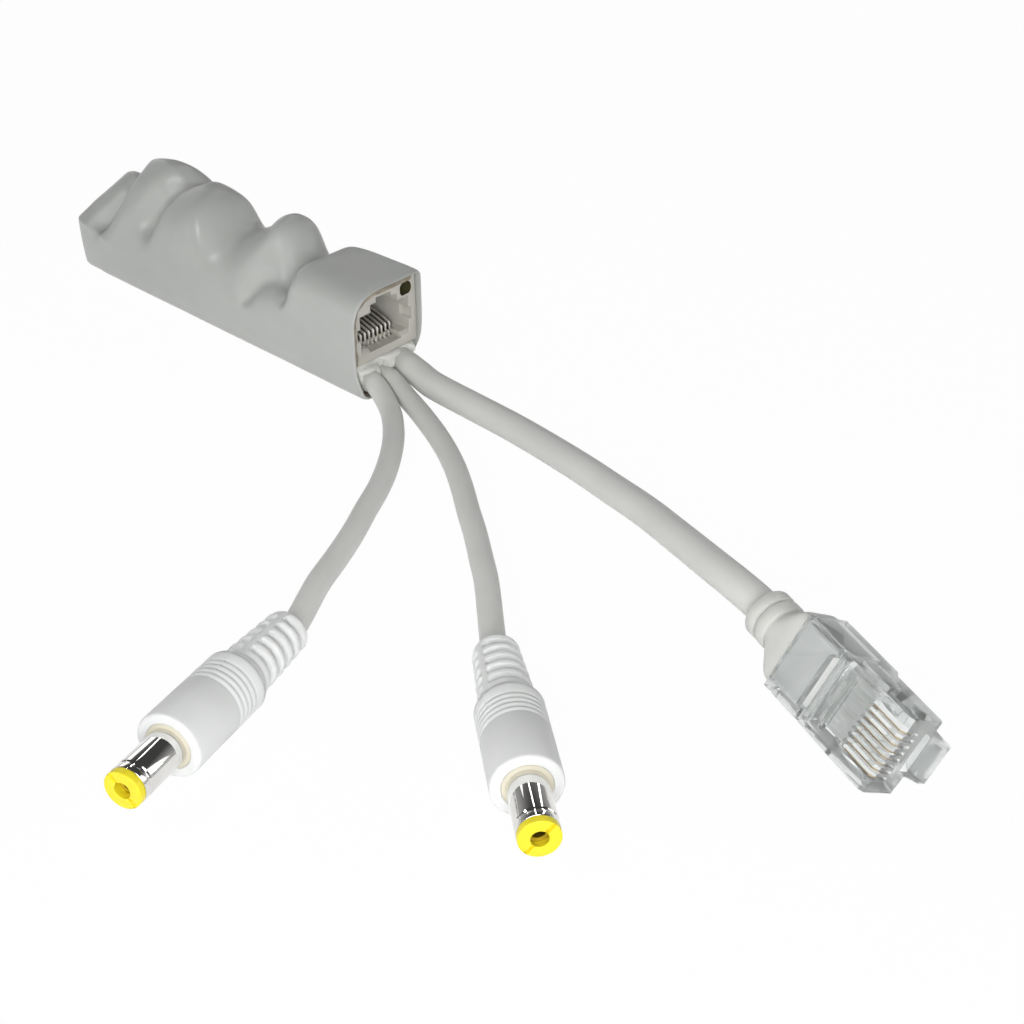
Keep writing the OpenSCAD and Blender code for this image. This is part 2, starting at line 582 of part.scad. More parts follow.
module plug_blade(i) {
    plug_place() translate([0, (i - 3.5) * pitch + blade_w / 2, 0]) rotate([90, 0, 0])
        linear_extrude(height = blade_w)
            polygon([[nose - 6.2, plug_face - 2.6], [nose - 5.8, plug_face - 0.5],
                     [nose - 0.9, plug_face - 0.5], [nose - 0.4, plug_face - 1],
                     [nose - 0.4, plug_face - 2.2], [nose - 1.2, plug_face - 3.1],
                     [nose - 5.8, plug_face - 3.1]]);
}

module plug_wire_guide() {
    color([0.9, 0.9, 0.86])
    plug_place() difference() {
        block(-2.4, 3.3, -4.2, 4.2, -1.8, 0.4);
        for (i = [0 : contacts - 1]) translate([-3, (i - 3.5) * pitch, 0.4]) rotate([0, 90, 0])
            cylinder(d = 0.8, h = 7);
    }
}

// Moulded boot: a tongue inside the clear body, a flare, and two rings round the lead
module plug_boot() {
    e = -nose - gap;
    color([0.8, 0.8, 0.78])
    plug_place() {
        block(e - 0.2, -2.6, -4.8, 4.8, -2.7, 2.4);
        hull() {
            block(e - 0.3, e, -plug_w / 2 + 0.2, plug_w / 2 - 0.2, plug_face - plug_h + 0.2, plug_face - 0.2);
            translate([e - 4.2, 0, 0]) rotate([0, 90, 0]) cylinder(d = 6.6, h = 0.4, $fn = 32);
        }
        translate([e - boot_len + gap, 0, 0]) rotate([0, 90, 0]) {
            cylinder(d = 6.4, h = boot_len - 3.8);
            for (k = [0, 1]) translate([0, 0, 2.2 * k]) rotate_extrude()
                polygon([[0, 0], [3.4, 0], [3.65, 0.3], [3.75, 0.9], [3.65, 1.5], [3.4, 1.8], [0, 1.8]]);
        }
    }
}

// The round plugs, drawn with the tip at the origin and the lead towards -X

module dc_place(k) {
    if (k == 1) translate(dc1_tip) rotate([0, -dc_lift, dc1_bearing]) children();
    if (k == 2) translate(dc2_tip) rotate([0, -dc_lift, dc2_bearing]) children();
}

collar_r = 3.25;
socket_len = barrel_len + 6;
relief_r = 3.8;
relief_end_r = 3.2;
module turned(points) {
    rotate([0, -90, 0]) rotate_extrude() polygon(points);
}

module dc_grip(k) {
    g = barrel_len;
    s = g + grip_len;
    e = dc_total;
    r = grip_d / 2;
    ring = 1;
    color([0.93, 0.93, 0.92])
    dc_place(k) difference() {
        union() {
            // Grip: rounded front edge, five fine rings behind the middle, sloped shoulder
            turned(concat([[0, g], [r - 0.35, g], [r - 0.1, g + 0.2], [r, g + 0.6]],
                          [for (i = [0 : 4]) each [[r, g + 9.3 + ring * i], [r - 0.2, g + 9.5 + ring * i],
                                                   [r - 0.2, g + 9.8 + ring * i], [r, g + 10 + ring * i]]],
                          [[r, s - 1.6], [r - 0.3, s - 0.7], [r - 0.9, s], [0, s]]));
            turned([[0, s - 0.5], [relief_r, s - 0.5], [relief_end_r, e - 0.5],
                    [relief_end_r - 0.5, e], [0, e]]);
        }
        // Recess and bore for the collar and the barrel
        turned([[0, g - 1], [collar_r + fit, g - 1], [collar_r + fit, g + 2.6], [barrel_d / 2 + fit, g + 2.6],
                [barrel_d / 2 + fit, socket_len + fit], [0, socket_len + fit]]);
        // Staggered slots of the strain relief, leaving a spine above and below
        for (i = [0 : 4], h = [-1, 1]) let (x = s + 0.9 + 2.2 * i + (h > 0 ? 0.6 : 0))
            intersection() {
                turned([[2.5, x], [6, x], [6, x + 0.9], [2.5, x + 0.9]]);
                block(-e - 1, -s, h > 0 ? 0.9 : -6, h > 0 ? 6 : -0.9, -6, 6);
            }
    }
}

module dc_collar(k) {
    g = barrel_len;
    color([0.84, 0.8, 0.7])
    dc_place(k) turned([[barrel_d / 2 + fit, g + 0.7], [collar_r - 0.2, g + 0.7], [collar_r, g + 0.9],
                        [collar_r, g + 2.5], [barrel_d / 2 + fit, g + 2.5]]);
}

module dc_barrel(k) {
    r = barrel_d / 2;
    color([0.75, 0.76, 0.78])
    dc_place(k) turned([[r - 0.4, 1.1], [r, 1.1], [r, 1.9], [r - 0.12, 2.1], [r - 0.12, 2.4], [r, 2.6],
                        [r, barrel_len + 0.6], [r - 0.15, barrel_len + 0.6],
                        [r - 0.15, socket_len], [r - 0.4, socket_len]]);
}

module dc_tip(k) {
    r = barrel_d / 2;
    color([0.95, 0.85, 0.1])
    dc_place(k) difference() {
        turned([[1.15, 0], [r - 0.3, 0], [r - 0.05, 0.25], [r - 0.05, 1.05], [r - 0.45, 1.05],
                [r - 0.45, socket_len - 0.1], [1.6, socket_len - 0.1], [1.6, 1.4], [1.15, 1.4]]);
        // Entry slot across the bore
        block(-0.7, 1, -1.9, 1.9, -0.3, 0.3);
    }
}

module dc_contact(k) {
    color([0.8, 0.8, 0.8])
    dc_place(k) difference() {
        turned([[1.05, 1.5], [1.55, 1.5], [1.55, socket_len - 0.2], [1.05, socket_len - 0.2]]);
        block(-9, -1, -0.25, 0.25, 0.5, 2);
    }
}

heat_shrink_sleeve();
jack_housing();
jack_contact_carrier();
color([0.8, 0.78, 0.7]) jack_contact(0);  // jack_contact_1
color([0.8, 0.78, 0.7]) jack_contact(1);  // jack_contact_2
color([0.8, 0.78, 0.7]) jack_contact(2);  // jack_contact_3
color([0.8, 0.78, 0.7]) jack_contact(3);  // jack_contact_4
color([0.8, 0.78, 0.7]) jack_contact(4);  // jack_contact_5
color([0.8, 0.78, 0.7]) jack_contact(5);  // jack_contact_6
color([0.8, 0.78, 0.7]) jack_contact(6);  // jack_contact_7
color([0.8, 0.78, 0.7]) jack_contact(7);  // jack_contact_8
circuit_board();
transformer_core();
transformer_bobbin();
transformer_winding();
bulk_capacitor();
output_capacitor();
filter_capacitor();
choke_core();
drum_inductor();
controller_chip();
bridge_rectifier();
opto_coupler();
glue_seal();
network_lead();
power_lead_one();
power_lead_two();
plug_shell();
color([0.85, 0.7, 0.3]) plug_blade(0);  // plug_blade_1
color([0.85, 0.7, 0.3]) plug_blade(1);  // plug_blade_2
color([0.85, 0.7, 0.3]) plug_blade(2);  // plug_blade_3
color([0.85, 0.7, 0.3]) plug_blade(3);  // plug_blade_4
color([0.85, 0.7, 0.3]) plug_blade(4);  // plug_blade_5
color([0.85, 0.7, 0.3]) plug_blade(5);  // plug_blade_6
color([0.85, 0.7, 0.3]) plug_blade(6);  // plug_blade_7
color([0.85, 0.7, 0.3]) plug_blade(7);  // plug_blade_8
plug_wire_guide();
plug_boot();
dc_grip(1);  // dc1_grip
dc_collar(1);  // dc1_collar
dc_barrel(1);  // dc1_barrel
dc_tip(1);  // dc1_tip
dc_contact(1);  // dc1_contact
dc_grip(2);  // dc2_grip
dc_collar(2);  // dc2_collar
dc_barrel(2);  // dc2_barrel
dc_tip(2);  // dc2_tip
dc_contact(2);  // dc2_contact
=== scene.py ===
import bpy
import bmesh
import math
from mathutils import Matrix, Vector, noise


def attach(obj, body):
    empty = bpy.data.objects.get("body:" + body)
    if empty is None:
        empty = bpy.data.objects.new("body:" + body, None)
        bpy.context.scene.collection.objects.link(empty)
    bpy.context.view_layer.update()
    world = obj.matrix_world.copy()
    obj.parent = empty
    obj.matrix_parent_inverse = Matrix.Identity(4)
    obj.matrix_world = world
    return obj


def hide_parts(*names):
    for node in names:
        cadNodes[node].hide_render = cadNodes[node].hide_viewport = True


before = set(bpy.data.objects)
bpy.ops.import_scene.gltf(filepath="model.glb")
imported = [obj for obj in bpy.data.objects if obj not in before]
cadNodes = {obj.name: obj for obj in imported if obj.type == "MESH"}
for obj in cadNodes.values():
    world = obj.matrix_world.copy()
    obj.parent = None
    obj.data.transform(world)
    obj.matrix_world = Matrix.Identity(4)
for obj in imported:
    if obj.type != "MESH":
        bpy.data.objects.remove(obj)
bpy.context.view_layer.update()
scene = bpy.context.scene
mm = 0.001

cameraView = {"place": (0.21985, -0.16286, 0.13751), "turn": (55.4, 0, 42), "lens": 52.73, "sensor": 36}


def makeCamera(v):
    data = bpy.data.cameras.new("photoCamera")
    data.lens = v["lens"]
    data.sensor_width = v["sensor"]
    data.clip_start = 0.01
    data.clip_end = 10
    cam = bpy.data.objects.new("photoCamera", data)
    cam.location = v["place"]
    cam.rotation_euler = [math.radians(a) for a in v["turn"]]
    scene.collection.objects.link(cam)
    scene.camera = cam


makeCamera(cameraView)
print("camera placed")


def newMaterial(name):
    mat = bpy.data.materials.new(name)
    mat.use_nodes = True
    tree = mat.node_tree
    return mat, tree, tree.nodes["Principled BSDF"]


def addNode(tree, kind, **values):
    n = tree.nodes.new(kind)
    for k, v in values.items():
        if k in n.inputs:
            n.inputs[k].default_value = v
        else:
            setattr(n, k, v)
    return n


def link(tree, a, out, b, into):
    tree.links.new(a.outputs[out], b.inputs[into])


def noiseOn(tree, scale, detail=3.0, rough=0.5):
    coord = addNode(tree, "ShaderNodeTexCoord")
    n = addNode(tree, "ShaderNodeTexNoise", Scale=scale, Detail=detail, Roughness=rough)
    link(tree, coord, "Object", n, "Vector")
    return n


def rampOn(tree, source, out, stops):
    r = addNode(tree, "ShaderNodeValToRGB")
    cr = r.color_ramp
    while len(cr.elements) < len(stops):
        cr.elements.new(0.5)
    for e, (at, c) in zip(cr.elements, stops):
        e.position = at
        e.color = (*c, 1)
    link(tree, source, out, r, "Fac")
    return r


def bumpOn(tree, bsdf, source, out, strength, distance):
    b = addNode(tree, "ShaderNodeBump", Strength=strength, Distance=distance)
    link(tree, source, out, b, "Height")
    link(tree, b, "Normal", bsdf, "Normal")
    return b


def mouldedPlastic(name, v):
    mat, tree, bsdf = newMaterial(name)
    c = v["colour"]
    s = v.get("shade", 0.93)
    cloud = noiseOn(tree, v.get("cloudScale", 120), 4)
    ramp = rampOn(tree, cloud, "Fac", [(0.35, tuple(x * s for x in c)), (0.65, c)])
    link(tree, ramp, "Color", bsdf, "Base Color")
    grain = noiseOn(tree, v.get("grainScale", 2600), 2)
    bumpOn(tree, bsdf, grain, "Fac", v.get("grain", 0.12), 0.00005)
    r = v["rough"]
    rr = rampOn(tree, cloud, "Fac", [(0.3, (r * 0.9,) * 3), (0.7, (min(1, r * 1.12),) * 3)])
    link(tree, rr, "Color", bsdf, "Roughness")
    bsdf.inputs["IOR"].default_value = 1.48
    if "subsurface" in v:
        bsdf.inputs["Subsurface Weight"].default_value = v["subsurface"]
        bsdf.inputs["Subsurface Radius"].default_value = (1, 0.95, 0.85)
        bsdf.inputs["Subsurface Scale"].default_value = v.get("depth", 0.0008)
    return mat


def platedMetal(name, v):
    mat, tree, bsdf = newMaterial(name)
    c = v["colour"]
    cloud = noiseOn(tree, 300, 4)
    ramp = rampOn(tree, cloud, "Fac", [(0.3, tuple(x * 0.9 for x in c)), (0.7, c)])
    link(tree, ramp, "Color", bsdf, "Base Color")
    bsdf.inputs["Metallic"].default_value = 1
    r = v["rough"]
    rr = rampOn(tree, cloud, "Fac", [(0.3, (r * 0.8,) * 3), (0.7, (r * 1.25,) * 3)])
    link(tree, rr, "Color", bsdf, "Roughness")
    grain = noiseOn(tree, 1800, 2)
    bumpOn(tree, bsdf, grain, "Fac", 0.05, 0.00002)
    return mat


finishes = {
    "sleeve": {"colour": (0.485, 0.497, 0.478), "shade": 0.92, "rough": 0.33, "cloudScale": 60,
               "grainScale": 1500, "grain": 0.16, "subsurface": 0.12, "depth": 0.0012},
    "jack": {"colour": (0.54, 0.525, 0.475), "rough": 0.38, "subsurface": 0.2, "depth": 0.001},
    "lead": {"colour": (0.67, 0.675, 0.65), "shade": 0.95, "rough": 0.5, "cloudScale": 90, "grainScale": 2200,
             "subsurface": 0.08},
    "grip": {"colour": (0.765, 0.775, 0.77), "shade": 0.97, "rough": 0.45, "subsurface": 0.15,
             "depth": 0.0008},
    "collar": {"colour": (0.66, 0.62, 0.5), "rough": 0.4},
    "yellow": {"colour": (0.85, 0.72, 0.02), "shade": 0.93, "rough": 0.38, "cloudScale": 700,
               "subsurface": 0.1, "depth": 0.0005},
    "boot": {"colour": (0.64, 0.64, 0.615), "rough": 0.42, "subsurface": 0.15, "depth": 0.0008},
    "black": {"colour": (0.02, 0.02, 0.022), "rough": 0.5},
    "board": {"colour": (0.05, 0.22, 0.09), "rough": 0.4},
    "ferrite": {"colour": (0.05, 0.05, 0.055), "rough": 0.75},
    "tape": {"colour": (0.7, 0.5, 0.06), "rough": 0.3},
    "can": {"colour": (0.02, 0.03, 0.09), "rough": 0.3},
    "whitePart": {"colour": (0.7, 0.7, 0.68), "rough": 0.5},
    "hotMelt": {"colour": (0.72, 0.72, 0.68), "rough": 0.25, "subsurface": 0.4, "depth": 0.002},
    # the tongue is painted near white, brighter than the boot it belongs to, to make up for light lost
    # through the clear shell: painted light
    "tongue": {"colour": (0.95, 0.95, 0.93), "rough": 0.45},
    # the wire guide's pale colour is partly its own and partly painted light, raised to make up for light
    # lost through the clear shell
    "guide": {"colour": (0.93, 0.93, 0.91), "rough": 0.35, "subsurface": 0.3, "depth": 0.0015},
    # the lamp bore is coloured dark olive all over, walls too: partly the dark amber LED lens, partly painted
    # shade of the deep bore
    "lampBoreLensAndShade": {"colour": (0.07, 0.065, 0.03), "rough": 0.12},
    "liner": {"colour": (0.42, 0.36, 0.28), "shade": 0.6, "rough": 0.6, "cloudScale": 500},
}
mats = {k: mouldedPlastic(k + "Plastic", v) for k, v in finishes.items()}
mats["nickel"] = platedMetal("nickelPlate", {"colour": (0.78, 0.77, 0.75), "rough": 0.05})
mats["tube"] = platedMetal("tubeMetal", {"colour": (0.8, 0.66, 0.12), "rough": 0.5})
mats["gold"] = platedMetal("giltContact", {"colour": (0.5, 0.4, 0.26), "rough": 0.3})
mats["spring"] = platedMetal("springMetal", {"colour": (0.93, 0.9, 0.84), "rough": 0.42})


def clearPlastic(name, colour, clear):
    mat, tree, bsdf = newMaterial(name)
    bsdf.inputs["Base Color"].default_value = (*colour, 1)
    bsdf.inputs["Transmission Weight"].default_value = clear
    bsdf.inputs["IOR"].default_value = 1.45
    smear = noiseOn(tree, 260, 3)
    rr = rampOn(tree, smear, "Fac", [(0.35, (0.0,) * 3), (0.75, (0.04,) * 3)])
    link(tree, rr, "Color", bsdf, "Roughness")
    bumpOn(tree, bsdf, smear, "Fac", 0.04, 0.0002)
    return mat


mats["clear"] = clearPlastic("clearPlug", (0.88, 0.9, 0.895), 0.88)
# the clear plug's straight side walls get a darker, less clear copy of the clear plastic: painted shade on
# those faces
mats["clearSidePaintedShade"] = clearPlastic("clearPlugPaintedShade", (0.56, 0.585, 0.58), 0.82)

cadFinish = {
    # the contact carrier's black is painted shade of the deep cavity under the jack springs
    "heat_shrink_sleeve": "sleeve", "jack_housing": "jack", "jack_contact_carrier": "black",
    "circuit_board": "board", "transformer_core": "ferrite", "choke_core": "ferrite",
    "drum_inductor": "ferrite", "transformer_bobbin": "black", "controller_chip": "black",
    "bridge_rectifier": "black", "transformer_winding": "tape", "bulk_capacitor": "can",
    "output_capacitor": "can", "filter_capacitor": "can", "opto_coupler": "whitePart",
    "glue_seal": "hotMelt", "network_lead": "lead", "power_lead_one": "lead", "power_lead_two": "lead",
    "plug_shell": "clear", "plug_wire_guide": "guide", "plug_boot": "boot",
}
for i in range(1, 9):
    cadFinish[f"jack_contact_{i}"] = "spring"
    cadFinish[f"plug_blade_{i}"] = "gold"
for k in (1, 2):
    cadFinish.update({f"dc{k}_grip": "grip", f"dc{k}_collar": "collar", f"dc{k}_barrel": "nickel",
                      f"dc{k}_tip": "yellow", f"dc{k}_contact": "tube"})
for name, finish in cadFinish.items():
    ob = cadNodes[name]
    ob.data.materials.clear()
    ob.data.materials.append(mats[finish])
print("finishes set on the frame")


def aim(bearing, lift):
    b, l = math.radians(bearing), math.radians(lift)
    return Vector((math.cos(l) * math.cos(b), math.cos(l) * math.sin(b), math.sin(l)))


roundPlug = {"barrel": 9.5, "grip": 17.0, "relief": 12.5, "gripD": 9.5, "lift": 6.0,
             "places": {1: ((98.3, -98.0), -71.2), 2: ((140.8, -70.2), -39.8)},
             "roll": {1: 0, 2: 47}, "slotTurn": {1: -48, 2: 48}}
modPlug = {"at": (155.3, -25.3, 7.2), "bearing": -20.69, "dip": 4.1, "roll": 61.5, "length": 21.0,
           "boot": 9.0}


def plugTip(k):
    v = roundPlug
    (x, y), bearing = v["places"][k]
    l = math.radians(v["lift"])
    z = (v["barrel"] + v["grip"] - 1.6) * math.sin(l) + v["gripD"] / 2 * math.cos(l) + 0.03
    return Vector((x, y, z)), bearing


def plugEnd(k):
    tip, bearing = plugTip(k)
    total = roundPlug["barrel"] + roundPlug["grip"] + roundPlug["relief"]
    return tip - total * aim(bearing, roundPlug["lift"]), aim(bearing, roundPlug["lift"])


def bootEnd():
    v = modPlug
    a = aim(v["bearing"], -v["dip"])
    return Vector(v["at"]) - (v["length"] / 2 + v["boot"]) * a, a


leads = {
    "network_lead": {
        "diameter": 5.1, "end": bootEnd(), "back": 2.0,
        "route": [(30, 4.05, 3.65), (38, 4.05, 3.65), (42.5, 4.05, 3.65), (46.6, 3.7, 3.1), (51.5, 2.9, 2.65),
                  (62, 2.3, 2.6), (71.5, 1.6, 2.75), (81.5, 0, 3.25), (91, -2.2, 4.05), (98, -4.2, 4.75),
                  (107.5, -7.2, 5.95), (117, -10.9, 7.15), (125, -14.2, 8.25), (131, -16.5, 8.9)]},
    "power_lead_one": {
        "diameter": 3.8, "end": plugEnd(1), "back": 2.5,
        "route": [(30, -4.7, 3.4), (38, -4.7, 3.4), (42.5, -4.7, 3.4), (44.3, -4.7, 3.4), (48.5, -6.3, 2.5),
                  (53, -9, 2), (58.5, -14, 1.95), (63.5, -20, 2), (67.5, -26, 2.05), (71, -32.5, 2.1),
                  (74.5, -38.7, 2.3), (77.5, -44.8, 2.5), (80.5, -51, 2.9)]},
    "power_lead_two": {
        "diameter": 3.8, "end": plugEnd(2), "back": 2.5,
        "route": [(30, -0.7, 2.7), (38, -0.7, 2.7), (42.5, -0.7, 2.7), (44.3, -0.7, 2.7), (50, -2.6, 2.1),
                  (56.5, -5.1, 1.95), (64.5, -8.8, 1.95), (71.5, -12.8, 2), (77.5, -17, 2), (83, -21.3, 2.1),
                  (88.5, -25.5, 2.3), (94, -30, 2.5), (99, -34.2, 2.8)]},
}


def makeLead(name, v):
    end, axis = v["end"]
    pts = [Vector(p) for p in v["route"]] + [end - v["back"] * axis, end]
    data = bpy.data.curves.new(name + "Curve", "CURVE")
    data.dimensions = "3D"
    data.bevel_depth = v["diameter"] / 2 * mm
    data.bevel_resolution = 10
    data.resolution_u = 10
    data.use_fill_caps = True
    spline = data.splines.new("BEZIER")
    spline.bezier_points.add(len(pts) - 1)
    n = len(pts) - 1
    for i, b in enumerate(spline.bezier_points):
        slope = (pts[min(i + 1, n)] - pts[max(i - 1, 0)]) / 6
        before = slope if i == 0 else slope.normalized() * min(slope.length, (pts[i] - pts[i - 1]).length / 3)
        after = slope if i == n else slope.normalized() * min(slope.length, (pts[i + 1] - pts[i]).length / 3)
        b.handle_left_type = b.handle_right_type = "FREE"
        b.co = pts[i] * mm
        b.handle_left = (pts[i] - before) * mm
        b.handle_right = (pts[i] + after) * mm
    ob = bpy.data.objects.new(name + "Jacket", data)
    scene.collection.objects.link(ob)
    data.materials.append(mats["lead"])
    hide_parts(name)
    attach(ob, "root")
    length = sum((b - a).length for a, b in zip(pts, pts[1:])) * mm
    return ob, length


leadObjects = {name: makeLead(name, v) for name, v in leads.items()}
print("leads laid")


def wholeCopy(node):
    bm = bmesh.new()
    bm.from_mesh(cadNodes[node].data)
    bmesh.ops.remove_doubles(bm, verts=bm.verts, dist=2e-6)
    return bm


def newObject(name, bm):
    data = bpy.data.meshes.new(name)
    bm.to_mesh(data)
    bm.free()
    ob = bpy.data.objects.new(name, data)
    scene.collection.objects.link(ob)
    return ob


# node is the solid that the piece stands for, or None
def showPiece(node, name, bm, coats, angle=35):
    bmesh.ops.recalc_face_normals(bm, faces=bm.faces)
    ob = newObject(name, bm)
    for p in ob.data.polygons:
        p.use_smooth = True
    ob.data.set_sharp_from_angle(angle=math.radians(angle))
    for f in coats:
        ob.data.materials.append(mats[f])
    if node:
        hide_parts(node)
    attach(ob, "root")


# flat faces made whole, and the edges between them rounded
def roundEdges(bm, width, segments=2):
    bmesh.ops.dissolve_limit(bm, angle_limit=math.radians(0.6), verts=bm.verts, edges=bm.edges)
    edges = [e for e in bm.edges if len(e.link_faces) == 2 and e.calc_face_angle(0) > math.radians(30)]
    bmesh.ops.bevel(bm, geom=edges, offset=width * mm, offset_type="OFFSET", segments=segments, profile=0.5,
                    affect="EDGES", clamp_overlap=True, material=-1)


def softened(node, width, segments=2):
    bm = wholeCopy(node)
    roundEdges(bm, width, segments)
    return bm


# a ring of points extruded from row to row, with a face over each end
def lofted(rows):
    bm = bmesh.new()
    ring = [bm.verts.new(p) for p in rows[0]]
    edges = list(bm.faces.new(ring).edges)
    for row in rows[1:]:
        made = bmesh.ops.extrude_edge_only(bm, edges=edges)["geom"]
        fresh = {g for g in made if isinstance(g, bmesh.types.BMVert)}
        edges = [g for g in made if isinstance(g, bmesh.types.BMEdge) and g.is_boundary]
        ring = [next(e.other_vert(p) for e in p.link_edges if e.other_vert(p) in fresh) for p in ring]
        for p, to in zip(ring, row):
            p.co = to
    bm.faces.new(ring)
    return bm


def evaluated(name, bm, *mods):
    ob = newObject(name, bm)
    for kind, values in mods:
        m = ob.modifiers.new(kind.lower(), kind)
        for k, val in values.items():
            setattr(m, k, val)
    bpy.context.view_layer.update()
    made = bpy.data.meshes.new_from_object(ob.evaluated_get(bpy.context.evaluated_depsgraph_get()))
    bpy.data.objects.remove(ob)
    out = bmesh.new()
    out.from_mesh(made)
    return out


# dents: (middle, half sizes, depth) in mm; swell: (frequency, height in mm)
sleeveForm = {
    "rounds": 2, "join": 60, "swell": [(70, 0.16), (230, 0.05), (700, 0.014)], "still": (0.0395, 0.0415),
    "glueFrom": 0.0412, "glueTo": 0.004, "glueMiddle": 0.0125,
    "dents": [((-34.4, 2.8, 17.9), (2.2, 3.4, 3.2), 0.9), ((-34.8, -1.3, 14.0), (2.2, 3.2, 3.0), 1.0),
              ((-35.4, -4.6, 10.9), (2.2, 2.8, 2.8), 0.7), ((-15.9, -0.2, 22.0), (1.9, 3.0, 2.4), 0.9),
              ((-18.8, -2.9, 19.2), (1.9, 2.6, 2.6), 1.1), ((-20.2, -4.8, 16.4), (1.9, 2.4, 2.8), 0.8),
              ((-12.6, 6.4, 23.6), (1.3, 3.0, 2.0), 0.5), ((12.0, -7.2, 10.9), (1.7, 2.2, 2.1), 0.9),
              ((13.0, -5.7, 13.0), (1.7, 2.2, 2.1), 1.0), ((16.4, -4.6, 15.0), (2.6, 1.8, 1.8), 0.8),
              ((21.6, -3.8, 15.1), (2.4, 1.8, 1.8), 0.8), ((23.8, -5.8, 13.4), (1.5, 2.0, 2.4), 0.6),
              ((-1.0, 6.2, 21.8), (2.0, 3.0, 2.0), -0.3), ((10.5, 0.5, 20.8), (2.4, 2.6, 2.6), 0.4)],
}


def makeSleeve(v):
    bm = wholeCopy("heat_shrink_sleeve")
    j = math.radians(v["join"])
    bmesh.ops.join_triangles(bm, faces=bm.faces, angle_face_threshold=j, angle_shape_threshold=j)
    bm = evaluated("sleeveCage", bm, ("SUBSURF", {"levels": v["rounds"], "render_levels": v["rounds"]}))
    bm.normal_update()
    x0, x1 = v["still"]
    moves = []
    for p in bm.verts:
        d = sum(a * noise.noise(p.co * f) for f, a in v["swell"])
        q = p.co / mm
        inside = p.normal.dot(Vector((0, p.co.y, p.co.z - min(p.co.z, 0.007)))) < 0
        for at, size, deep in v["dents"]:
            far = sum(((a - b) / c) ** 2 for a, b, c in zip(q, at, size))
            if far < 6:
                d += (deep if inside else -deep) * math.exp(-far)
        fade = max(0, min(1, (x1 - p.co.x) / (x1 - x0))) * max(0, min(1, p.co.z / 0.002))
        moves.append(p.normal * (d * mm * fade))
    for p, m in zip(bm.verts, moves):
        p.co += m
    for f in bm.faces:
        c = f.calc_center_median()
        across = Vector((0, -c.y, v["glueMiddle"] - c.z)).normalized()
        inward = f.normal.dot(across) > 0.35 and abs(f.normal.x) < 0.6
        if inward and c.x > v["glueFrom"] and c.y < v["glueTo"]:
            f.material_index = 1
    showPiece("heat_shrink_sleeve", "shrunkSleeve", bm, ["sleeve", "liner"], 60)


makeSleeve(sleeveForm)
print("sleeve dressed")

jackForm = {"edge": 0.09, "carrierEdge": 0.06, "springEdge": 0.05, "lamp": (5.4, 18.1, 1.6),
            "lampDepth": (37.5, 42.35)}


def makeJack(v):
    bm = softened("jack_housing", v["edge"])
    y, z, r = v["lamp"]
    x0, x1 = v["lampDepth"]
    # all faces inside the lamp bore take the dark finish: the LED lens colour plus painted shade of the bore
    for f in bm.faces:
        c = f.calc_center_median() / mm
        if x0 < c.x < x1 and math.hypot(c.y - y, c.z - z) < r:
            f.material_index = 1
    showPiece("jack_housing", "jackHousing", bm, ["jack", "lampBoreLensAndShade"], 32)
    # the carrier is black so that the gaps between the springs read dark: painted shade of the cavity under
    # them
    carrier = softened("jack_contact_carrier", v["carrierEdge"])
    showPiece("jack_contact_carrier", "contactCarrier", carrier, ["black"])
    for i in range(1, 9):
        spring = softened(f"jack_contact_{i}", v["springEdge"])
        showPiece(f"jack_contact_{i}", f"jackSpring{i}", spring, ["spring"])


makeJack(jackForm)
print("jack dressed")

# hot melt: the seal and the drops squeezed out of it, run into one mass
meltForm = {"edge": 0.3, "voxel": 0.00022, "smooth": 10, "wave": (380, 0.14), "waveFrom": 0.0418,
            "drops": [((42.2, 1.3, 6.3), (1.4, 2.6, 0.9)), ((42.6, 0.6, 5.2), (1.3, 1.1, 1.4)),
                      ((42.3, -4.4, 5.6), (1.5, 2.3, 0.9)), ((42.2, -6.4, 4.6), (1.0, 0.7, 1.5)),
                      ((42.4, -2.7, 4.3), (1.3, 0.9, 1.4)), ((42.3, 6.3, 5.8), (1.2, 0.9, 1.1))]}


def makeMelt(v):
    bm = softened("glue_seal", v["edge"], 3)
    for at, size in v["drops"]:
        made = bmesh.ops.create_icosphere(bm, subdivisions=3, radius=1)
        for p in made["verts"]:
            p.co = Vector(at) * mm + Vector([a * s * mm for a, s in zip(p.co, size)])
    bm = evaluated("meltCage", bm, ("REMESH", {"mode": "VOXEL", "voxel_size": v["voxel"]}),
                   ("SMOOTH", {"iterations": v["smooth"], "factor": 0.5}))
    f, a = v["wave"]
    for p in bm.verts:
        if p.co.x > v["waveFrom"]:
            p.co += Vector((1, 0.4, 0.4)) * (noise.noise(p.co * f) * a * mm)
    showPiece("glue_seal", "hotMelt", bm, ["hotMelt"], 80)


makeMelt(meltForm)
print("hot melt dressed")


# adhesive that shows as a brownish line between the film and the jack, along its left side and top
rimForm = {"depth": (42.55, 43.05), "wide": (0.35, 0.95), "start": 7.5, "side": -7.62,
           "arch": (-2.6, 15.0, 5.02), "end": 6.6, "steps": 24}


